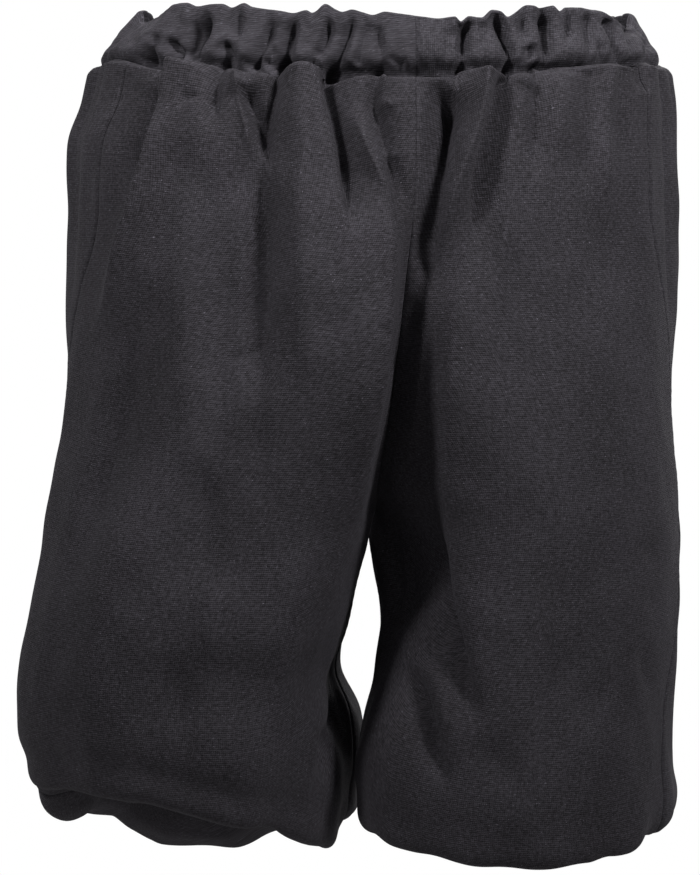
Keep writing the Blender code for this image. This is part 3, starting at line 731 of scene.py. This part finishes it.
def closed_cloth(name, outer, inner, lengths, ring=False):
    """A thin closed mesh between two grids of points. A ring's last column meets its first.

    The hidden inner side takes every second row and column."""
    inner = inner[::2, ::2]
    index = np.arange(outer.shape[0] * outer.shape[1]).reshape(outer.shape[:2])
    behind = np.arange(inner.shape[0] * inner.shape[1]).reshape(inner.shape[:2]) + index.size

    def sheet(grid):
        corners = [grid[:-1, :-1], grid[:-1, 1:], grid[1:, 1:], grid[1:, :-1]]
        return np.stack(corners, axis=-1).reshape(-1, 4)

    def rim(near, far):
        """The edge strip between a fine row of points and the coarser row behind it."""
        return np.stack([near[:-2:2], near[1:-1:2], near[2::2], far[1:], far[:-1]], axis=-1)

    quads = np.concatenate([sheet(index), sheet(behind)[:, ::-1]])
    rims = [rim(index[0], behind[0])[:, ::-1], rim(index[-1], behind[-1])]
    if not ring:
        rims += [rim(index[:, 0], behind[:, 0]), rim(index[:, -1], behind[:, -1])[:, ::-1]]
    rims = np.concatenate(rims)
    points = np.concatenate([outer.reshape(-1, 3), inner.reshape(-1, 3)])
    joined = np.arange(len(points))
    if ring:
        first = np.concatenate([index[:, 0], behind[:, 0]])
        last = np.concatenate([index[:, -1], behind[:, -1]])
        points[first] = 0.5 * (points[first] + points[last])
        joined[last] = first
    # One quad tells whether the faces look out or in.
    corner = outer[1, 1]
    facing = np.cross(outer[1, 2] - corner, outer[2, 1] - corner) @ (corner - inner[0, 0])
    if facing < 0:
        quads, rims = quads[:, ::-1], rims[:, ::-1]
    loops = np.concatenate([quads.reshape(-1), rims.reshape(-1)])
    used, compact = np.unique(joined[loops], return_inverse=True)
    compact = compact.reshape(-1)
    faces = compact[: quads.size].reshape(-1, 4).tolist()
    faces += compact[quads.size :].reshape(-1, 5).tolist()
    mesh = bpy.data.meshes.new(name)
    mesh.from_pydata(points[used].tolist(), [], faces)
    uv = np.concatenate([lengths.reshape(-1, 2), lengths[::2, ::2].reshape(-1, 2)])
    layer = mesh.uv_layers.new(name="cloth")
    layer.data.foreach_set("uv", uv[loops].reshape(-1))
    mesh.shade_smooth()
    piece = bpy.data.objects.new(name, mesh)
    bpy.context.scene.collection.objects.link(piece)
    return piece


def triangles(piece):
    """How many triangles a piece has."""
    return sum(len(face.vertices) - 2 for face in piece.data.polygons)


def area_of(piece):
    """Surface of a piece in square metres."""
    return sum(face.area for face in piece.data.polygons)


# %% [markdown]
# At a seam the cloth dips, because the two panels are folded back there, and it puckers a little
# between the stitches. At the waist the gathered cloth folds over the seam as a proud edge, which
# is cut by the deep pleats that run up into the waistband.

# %% Shaping a panel
SEAM_DIP = 0.0011
SEAM_REACH = 0.0016
PUCKER = 0.00035           # height of the puckers beside a seam
PUCKER_PITCH = 0.0072
PUCKER_REACH = 0.005
LEDGE = 0.0042             # how far the gathered cloth stands out over the waist seam
LEDGE_FADE = 0.020
WAIST_SEAM_DIP = 0.0022
WAIST_SEAM_REACH = 0.0022
EDGE_LIFT_FADE = 0.010
OWN_CREASES_STOP = 0.014   # where the creases of one leg die out, before the centre seam
SHARED_WAY = 0.025         # where the two legs' panels begin to move the same way
TURNS_TO_FRONT = (0.10, 0.55)  # how far a place has to face forward to take the front's creases
EDGE_LIFT = [
    # across and up, as seen from the front: where the body's upper edge rises or dips
    (-170, 4), (-162, 3), (-129, -4), (-124, -4), (-117, 0), (-95, 0.5), (-84, -1.5), (-80, -4),
    (-59, -4), (-56, 1), (-48, 3), (-28, 0), (-25, -4), (7, -1), (10, -4), (50, -5), (56, 2),
    (61, 0), (87, -5), (88, -2), (102, -2), (105, 3), (110, 0), (150, 0), (167, -3), (170, 1),
    (184, -6),
]


def panel_piece(leg, face):
    """One panel of the trousers, creased and closed."""
    grid, drop = panel_grid(leg, face)
    middle_x = 0.5 * (grid[..., 0].min() + grid[..., 0].max())
    way = outward(grid, middle_x)
    lengths = cloth_lengths(grid)
    from_seam = lengths[..., 0]
    from_end = lengths[:, -1:, 0] - lengths[..., 0]
    inside = soft_step(from_end, 0, OWN_CREASES_STOP)
    # At the centre seam both panels move straight forward or back, so that they stay together.
    forward = np.array([0.0, -1.0 if face == "front" else 1.0, 0.0])
    shared = soft_step(from_end, SHARED_WAY, 0) * soft_step(drop, FORK_DROP, FORK_DROP - 0.03)
    way = unit(way * (1 - shared[..., None]) + forward * shared[..., None])
    facing_front = soft_step(-way[..., 1], *TURNS_TO_FRONT)
    facing_back = soft_step(way[..., 1], *TURNS_TO_FRONT)
    facing_side = 1 - facing_front - facing_back
    across, up = seen(grid)
    x, y, z = (grid[..., k] * 1000 for k in range(3))
    wall = soft_step(drop, LEG_DROP + 0.02, LEG_DROP - 0.01)

    front = crease_moves(FRONT_CREASES, leg, across, up, inside) * facing_front[..., None]
    back = crease_moves(BACK_CREASES, leg, x, z, inside) * facing_back[..., None]
    side = crease_moves(SIDE_CREASES, leg, y, z, inside) * facing_side[..., None]
    height = front[..., 2] + back[..., 2] + side[..., 2]
    height += gathers(grid, drop) * (1 - 0.85 * facing_front)
    height *= wall
    aside = np.stack([front[..., 0] + back[..., 0], side[..., 0], front[..., 1]], axis=-1)
    aside *= (wall * soft_step(from_end, 0, 0.010) * soft_step(from_seam, 0, 0.006))[..., None]
    height += crumple(grid, BROAD_WAVES) * soft_step(drop, 0, 0.03)
    height += crumple(grid, SMALL_WAVES) + crumple(grid, WAVES_UNDER_THE_HEM) * (1 - wall)

    # The proud upper edge: it comes out of the seam, turns over and hangs down.
    ledge = soft_step(drop, 0, 0.0035) * np.exp(-drop / LEDGE_FADE)
    height += LEDGE * (1 - 0.5 * facing_side) * ledge
    height -= WAIST_SEAM_DIP * np.exp(-((drop / WAIST_SEAM_REACH) ** 2))
    lift = fair_curve(*zip(*EDGE_LIFT), across) / 1000 * np.exp(-drop / EDGE_LIFT_FADE)

    # The side seam and the centre or inside leg seam
    pucker = PUCKER * np.sin(2 * math.pi * drop / PUCKER_PITCH + 2 * np.sin(drop * 90))
    for distance in (from_seam, from_end):
        dip = np.exp(-((distance / SEAM_REACH) ** 2))
        height += pucker * np.exp(-distance / PUCKER_REACH) * (1 - dip)
        height -= SEAM_DIP * dip
    outer = grid + aside + way * height[..., None]
    outer[..., 2] += lift * facing_front
    outer[1:-1, 1:-1] = 0.5 * outer[1:-1, 1:-1] + 0.125 * (
        outer[:-2, 1:-1] + outer[2:, 1:-1] + outer[1:-1, :-2] + outer[1:-1, 2:]
    )
    inner = outer - outward(outer, middle_x) * CANVAS
    return closed_cloth(f"canvas_{face}_{leg}", outer, inner, lengths)


panels = {}
for leg in ("right", "left"):
    for face in ("front", "back"):
        piece = panel_piece(leg, face)
        panels[f"{face}_{leg}"] = piece
        print(piece.name, triangles(piece), "triangles,", round(area_of(piece), 3), "m2")

# %% [markdown]
# ## The waistband
#
# The waistband is a strip of canvas folded double over an elastic. The elastic is shorter than
# the strip, so the casing stands in soft folds all round, with one flat stretch at the front
# where its ends are joined. It is made as a tube: up the outside, over the top, down the inside
# and closed below, with the same kind of creases and with small gathers where no photograph
# shows them.

# %% The waistband as a crumpled tube
BAND_COLUMNS = 1300
# Shares of the band's height: its foot inside the body, and where its top begins to round.
BAND_FOOT = -0.20
BAND_SHOULDER = 0.94
BAND_PUFF = 0.0016         # how far the lobes between the creases stand out
QUARTER_WIDTH = 0.17       # metres across for a quarter of the turn, near the centre front
END_SEAM_DIP = 0.0010
END_SEAM_REACH = 0.0013
TOP_LOBES = [
    # across, and how far the top edge rises there, as seen from the front
    (-168, -9), (-160, -5), (-154, -1), (-148, 3), (-139, 4), (-132, 2), (-122, 3.5), (-113, 4),
    (-107, 2), (-97, 5), (-92, 3), (-83, 2), (-70, 1), (-62, 0), (-52, 2), (-48, 0.5),
    (-38, 6), (-31, 3), (-26, 1.5), (-19, 3), (-11, 1.5), (-4, 0), (5, 2), (15, 1), (24, 0),
    (33, -1), (44, -2), (56, -1), (60, -4), (66, -1), (75, -2), (83, 2.5), (89, 1.5), (94, -2),
    (101, 1), (108, 4.5), (113, 4), (118, 2.5), (127, 3.5), (132, 0), (137, 2), (146, 1.5),
    (153, 0), (161, -1), (166, -4), (172, -7), (178, -12),
]


def band_form(turn, height):
    """Points of the waistband's plain outer face. Turn runs round from the centre front."""
    turn, height = np.broadcast_arrays(turn, height)
    quarter = np.minimum(turn.astype(int), 3)
    along = turn - quarter
    rising = (quarter == 1) | (quarter == 3)
    angle = math.pi / 2 * np.where(rising, along, 1 - along)
    front = (quarter == 0) | (quarter == 3)
    angle = np.where(front, np.maximum(angle, 1e-6), -angle)
    left = quarter < 2
    points = np.where(left[..., None], form("left", angle, 0.0), form("right", angle, 0.0))
    share = height / BAND_HEIGHT
    lean = 0.5 * soft_step(share) + 0.5 * share
    side = np.where(left, BAND_TAPER["left"], -BAND_TAPER["right"]) * np.cos(angle)
    depth = BAND_DEPTH_TAPER * np.abs(np.sin(angle)) * np.where(front, -1, 1)
    points[..., 0] -= side * lean
    points[..., 1] -= depth * lean
    points[..., 2] += height
    return points


def waistband():
    """The gathered casing of the waist's elastic."""
    turn = np.linspace(0, 4, BAND_COLUMNS + 1)[None, :]
    # Stations round the casing's section: share of the height, and how deep in the wall.
    up_outside = [(share, 0.0) for share in np.linspace(BAND_FOOT, BAND_SHOULDER, 31)]
    over = [
        (BAND_SHOULDER + (1 - BAND_SHOULDER) * math.sin(a), 0.5 - 0.5 * math.cos(a))
        for a in np.linspace(0.3, math.pi - 0.3, 8)
    ]
    down_inside = [(share, 1.0) for share in np.linspace(BAND_SHOULDER, BAND_FOOT, 16)]
    stations = np.array(up_outside + over + down_inside)
    share, depth = stations[:, :1], stations[:, 1:]
    low = band_form(turn, np.zeros_like(turn))
    base = band_form(turn, share * BAND_HEIGHT)
    tangent = np.gradient(low, axis=1)
    way = unit(np.stack([-tangent[..., 1], tangent[..., 0], 0 * tangent[..., 2]], axis=-1))
    if np.sum(way * low) < 0:
        way = -way
    way = np.broadcast_to(way, base.shape)
    facing_front = soft_step(-way[..., 1], 0.04, 0.32)
    across, up = seen(base)
    inside = np.ones(across.shape)
    moves = crease_moves(BAND_CREASES, "band", across, up, inside)
    # The foot goes into the pockets between the pleats together with the body's edge.
    foot = soft_step(share, 0.22, -0.08)[..., None]
    pockets = crease_moves(FRONT_CREASES, "band", across, up, inside)
    moves = moves + foot * np.where(pockets[..., 2:] < 0, pockets, 0)
    # At the top edge the creases run out, so that its lobes stay whole.
    calm = 1 - 0.7 * soft_step(share, 0.70, 0.95)
    moves = moves * (facing_front * calm)[..., None]
    height = moves[..., 2]
    ring = round_waist(low)
    lean = 0.05 * np.sin(5 * ring + 1.0) * (share - 0.5)
    hidden = 1 - facing_front
    height = height + 0.0048 * (pleat_wave(ring + lean, WAIST_PLEATS, 3) - 0.75) * hidden
    height = height + 0.0022 * (pleat_wave(ring - 2 * lean, WAIST_PLEATS // 2, 6) - 0.70) * hidden
    # The lobes between the creases are puffed out, most of all at mid height.
    puffed = np.sin(math.pi * np.clip(share, 0, 1)) ** 0.7
    height = height + BAND_PUFF * puffed
    height = height + crumple(base, BAND_WAVES) * (0.4 + puffed) + crumple(base, FINE_BAND_WAVES)
    # The band's ends meet at the centre front, in a vertical seam.
    from_ends = np.minimum(turn, 4 - turn) * QUARTER_WIDTH
    height = height - END_SEAM_DIP * np.exp(-((from_ends / END_SEAM_REACH) ** 2))
    # The foot is tucked in under the body's proud edge.
    tuck = soft_step(share, 0.26, -0.14)
    height = height - (0.0025 + 0.0055 * facing_front) * tuck
    points = base + way * (height - depth * BAND_THICKNESS)[..., None]
    points[..., 0] += moves[..., 0]
    points[..., 2] += moves[..., 1]
    lobes = fair_curve(*zip(*TOP_LOBES), across[:1]) * facing_front[:1]
    lobes = lobes + 4.5 * (pleat_wave(ring, WAIST_PLEATS, 3) - 0.55) * hidden[:1]
    points[..., 2] += lobes / 1000 * np.clip(share, 0, 1) ** 2.5
    points = eased(points)
    lengths = cloth_lengths(base - way * (depth * BAND_THICKNESS)[..., None])
    # Opened at the foot, the tube is one long strip: its rows run round the section.
    half = len(up_outside) + len(over) // 2
    inner_rows = np.linspace(len(stations) - 1, half, half).round().astype(int)
    return closed_cloth("canvas_waistband", points[:half], points[inner_rows], lengths[:half])


band = waistband()
print(band.name, triangles(band), "triangles,", round(area_of(band), 3), "m2")

# %% [markdown]
# ## The hem casings
#
# Inside each leg, above the lowest fold, a narrow casing holds the elastic that the cloth
# blouses over. It is hidden from the front and shows only from below.

# %% The gathered hem casings
CASING_ROWS = 15
CASING_COLUMNS = 361


def hem_casing(leg):
    """The gathered ring of canvas round a hem's elastic."""
    angle = np.linspace(0, 2 * math.pi, CASING_COLUMNS)[None, :]
    share = np.linspace(0, 1, CASING_ROWS)[:, None]
    wave = 0.0022 * np.sin(16 * angle + 0.7 + 0.8 * np.sin(2 * angle))
    wave = wave + 0.0007 * np.sin(37 * angle + 3 * share)
    puffed = 0.0008 * np.sin(math.pi * share)
    height = HEM_ELASTIC_TOP - HEM_ELASTIC_HEIGHT * share
    radius = HEM_ELASTIC_RADIUS - wave + puffed + HEM_CASING_WALL * 0.75
    outer = elastic_ring(leg, angle, radius, height)
    inner = elastic_ring(leg, angle, radius - HEM_CASING_WALL, height)
    return closed_cloth(f"canvas_hem_casing_{leg}", outer, inner, cloth_lengths(outer), ring=True)


hem_casings = {leg: hem_casing(leg) for leg in ("right", "left")}
for piece in hem_casings.values():
    print(piece.name, triangles(piece), "triangles")

# %% [markdown]
# ## The canvas
#
# It is plain woven cotton, dyed nearly black, with thick uneven yarns about 1.2 mm apart. The
# yarns across show most. Uneven yarn gives short light and dark dashes, and worn fluff gives
# pale flecks. Cotton has no gloss, only a faint bloom where light grazes its fluff.

# %% The canvas as a material
YARN_PITCH = 0.0012
YARN_WOBBLE = 1.2
TONE_START = -1.01         # brings the sum of the yarns' and slubs' tones down to 0 to 1


def linear(hex_colour):
    """An sRGB hex colour as linear RGBA."""
    parts = [int(hex_colour[i : i + 2], 16) / 255 for i in (1, 3, 5)]
    return tuple(
        c / 12.92 if c <= 0.04045 else ((c + 0.055) / 1.055) ** 2.4 for c in parts
    ) + (1.0,)


def add(tree, kind, settings=None, links=None):
    """Adds a node with its settings, input values and links from other nodes' outputs."""
    node = tree.nodes.new(kind)
    for name, value in (settings or {}).items():
        if hasattr(node, name):
            setattr(node, name, value)
        else:
            node.inputs[name].default_value = value
    for name, source in (links or {}).items():
        tree.links.new(source, node.inputs[name])
    return node


def surface(name, settings):
    """A new material with these settings on its shader."""
    material = bpy.data.materials.new(name)
    material.use_nodes = True
    for setting, value in settings.items():
        material.node_tree.nodes["Principled BSDF"].inputs[setting].default_value = value
    return material


def ramp(tree, source, start, before, end, after):
    """A colour that changes from one to another between two values of the source."""
    node = add(tree, "ShaderNodeValToRGB", None, {"Fac": source})
    for element, place, colour in zip(node.color_ramp.elements, (start, end), (before, after)):
        element.position = place
        element.color = colour
    return node.outputs["Color"]


def weighted(tree, start, *terms):
    """A number plus each output times its weight."""
    for output, weight in terms:
        node = add(tree, "ShaderNodeMath", {"operation": "MULTIPLY_ADD"}, {0: output})
        node.inputs[1].default_value = weight
        if isinstance(start, float):
            node.inputs[2].default_value = start
        else:
            tree.links.new(start, node.inputs[2])
        start = node.outputs[0]
    return start


def canvas_material(name, dark, light, fleck):
    """Plain woven cotton canvas. It gives the eye rows of dull thread, dashes and pale flecks."""
    material = surface(
        name,
        {
            "Roughness": 0.92, "Specular IOR Level": 0.22, "Sheen Weight": 0.05,
            "Sheen Roughness": 0.55, "Sheen Tint": linear("#b8b2c0"),
        },
    )
    tree = material.node_tree
    shader = tree.nodes["Principled BSDF"]
    cloth = add(tree, "ShaderNodeUVMap", {"uv_map": "cloth"}).outputs["UV"]

    def yarns(direction):
        """Even yarns, as a wave that wobbles a little."""
        settings = {
            "wave_type": "BANDS", "bands_direction": direction, "wave_profile": "SIN",
            "Scale": math.pi / (10 * YARN_PITCH), "Distortion": YARN_WOBBLE,
            "Detail": 1.0, "Detail Scale": 0.35,
        }
        return add(tree, "ShaderNodeTexWave", settings, {"Vector": cloth}).outputs["Fac"]

    def slubs(along, across):
        """Uneven yarn: noise drawn out along the thread."""
        settings = {"Scale": (1 / along, 1 / across, 1.0)}
        drawn_out = add(tree, "ShaderNodeMapping", settings, {"Vector": cloth}).outputs["Vector"]
        settings = {"Scale": 1.0, "Detail": 2.0, "Roughness": 0.6}
        return add(tree, "ShaderNodeTexNoise", settings, {"Vector": drawn_out}).outputs[0]

    weft, warp = yarns("Y"), yarns("X")
    weft_slubs = slubs(0.004, 0.0013)
    tone = weighted(
        tree, TONE_START,
        (weft_slubs, 0.8), (slubs(0.0014, 0.006), 0.5), (slubs(0.0020, 0.0016), 0.7),
        (slubs(0.045, 0.060), 0.35), (weft, 0.26), (warp, 0.16),
    )
    yarn_colour = ramp(tree, tone, 0.15, linear(dark), 0.95, linear(light))
    fluff = ramp(tree, slubs(0.0016, 0.0011), 0.64, (0, 0, 0, 1), 0.86, (1, 1, 1, 1))
    # Inputs 6 and 7 of a mix node are its two colours, and output 2 is their mix.
    mixed = add(tree, "ShaderNodeMix", {"data_type": "RGBA"}, {"Factor": fluff})
    tree.links.new(yarn_colour, mixed.inputs[6])
    mixed.inputs[7].default_value = linear(fleck)
    relief = weighted(tree, 0.0, (weft, 0.60), (warp, 0.40), (weft_slubs, 0.9))
    bump = add(
        tree, "ShaderNodeBump", {"Strength": 0.55, "Distance": 0.00035}, {"Height": relief}
    )
    tree.links.new(mixed.outputs[2], shader.inputs["Base Color"])
    tree.links.new(bump.outputs["Normal"], shader.inputs["Normal"])
    return material


body_canvas = canvas_material("dyed cotton canvas", "#232124", "#535057", "#8a8692")
# The casings' copy of the canvas is a little lighter. This is painted light, for the extra light that
# the waistband's upward-leaning face catches.
casing_canvas_painted_lighter = canvas_material("dyed cotton canvas, casing, painted lighter", "#29272b", "#5a575e", "#908c98")
print("yarn pitch:", YARN_PITCH * 1000, "mm")

# %% [markdown]
# ## Joining the scene to the imported part
#
# Each piece rides on the part's only body and stands for its plain solid.


def declare(piece, canvas, solid):
    """Gives a piece its canvas, rides it on the part's only body and hides the solid that it stands
    for.
    """
    piece.data.materials.append(canvas)
    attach(piece, "root")
    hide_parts(solid)


for name, piece in panels.items():
    declare(piece, body_canvas, name)
declare(band, casing_canvas_painted_lighter, "waistband")
for leg, piece in hem_casings.items():
    solid = f"hem_casing_{leg}"
    declare(piece, casing_canvas_painted_lighter, solid)
print("pieces declared:", len(panels) + 1 + len(hem_casings))

# %% [markdown]
# ## Floor, light and camera
#
# A large pale floor lies well below the trousers, and the sky is white near the horizon, as a
# photographer's backdrop is. One lamp in front would flatten upright folds, so two small soft
# boxes stand high on the left and the right, and each fold is lit on its two sides and dark
# between them. Large ones overhead and behind keep the top and the back readable, and the paper
# glows a little, to stay pale in so low a light. The camera stands where the photographer's did.

# %% Floor, light and camera
FLOOR_LEVEL = -1.9
FLOOR_RADIUS = 8.5
bpy.ops.mesh.primitive_circle_add(
    vertices=128, radius=FLOOR_RADIUS, fill_type="NGON", location=(0, 0, FLOOR_LEVEL)
)
floor = bpy.context.object
floor.name = "floor"
PAPER = {
    "Base Color": linear("#e8e7e6"), "Roughness": 0.9,
    "Emission Color": linear("#ffffff"), "Emission Strength": 0.04,
}
floor.data.materials.append(surface("matt white paper", PAPER))


def soft_box(name, place, target, width, height, watts, spread):
    """A square studio light that points at the target."""
    lamp = bpy.data.lights.new(name, "AREA")
    lamp.shape = "RECTANGLE"
    lamp.size, lamp.size_y = width, height
    lamp.energy = watts
    lamp.spread = math.radians(spread)
    box = bpy.data.objects.new(name, lamp)
    box.location = place
    box.rotation_euler = (Vector(target) - Vector(place)).to_track_quat("-Z", "Y").to_euler()
    bpy.context.scene.collection.objects.link(box)
    return box


soft_box("soft box on the left", (-1.45, -1.55, 1.45), (0.02, 0, 0.30), 0.40, 0.35, 3.2, 45)
soft_box("soft box on the right", (1.45, -1.55, 1.45), (0, 0, 0.20), 0.40, 0.35, 4.1, 45)
soft_box("soft box overhead", (0, 0, 2.4), (0, 0.001, -1), 2.0, 2.0, 20, 180)
soft_box("soft box behind", (0.6, 2.6, 1.8), (0, 0, -0.3), 1.6, 1.2, 26, 120)

world = bpy.data.worlds.new("white studio")
bpy.context.scene.world = world
world.use_nodes = True
sky = world.node_tree
background = sky.nodes["Background"]
direction = add(sky, "ShaderNodeTexCoord").outputs["Generated"]
parts = add(sky, "ShaderNodeSeparateXYZ", None, {"Vector": direction}).outputs


def fade(source, start, before, end, after):
    """Grey that changes from one value to another between two places."""
    greys = [(value, value, value, 1.0) for value in (before, after)]
    return ramp(sky, source, start, greys[0], end, greys[1])


# The sky is white up to a little above the horizon, and dimmer in front than behind.
white = add(sky, "ShaderNodeMix", {"data_type": "RGBA", "blend_type": "MULTIPLY"})
white.inputs[0].default_value = 1.0
sky.links.new(fade(parts["Z"], 0.13, 1.0, 0.22, 0.12), white.inputs[6])
sky.links.new(fade(parts["Y"], 0.0, 0.30, 0.5, 1.0), white.inputs[7])
sky.links.new(white.outputs[2], background.inputs["Color"])
background.inputs["Strength"].default_value = 1.0

bpy.context.scene.view_settings.view_transform = "Standard"

camera_data = bpy.data.cameras.new("camera")
camera_data.sensor_fit = "VERTICAL"
camera_data.angle = 2 * math.atan(SEEN_HALF_HEIGHT / -EYE.y)
camera = bpy.data.objects.new("camera", camera_data)
camera.location = EYE
camera.rotation_euler = (math.radians(90), 0, 0)
bpy.context.scene.collection.objects.link(camera)
bpy.context.scene.camera = camera
print("camera at", tuple(round(v, 3) for v in EYE))
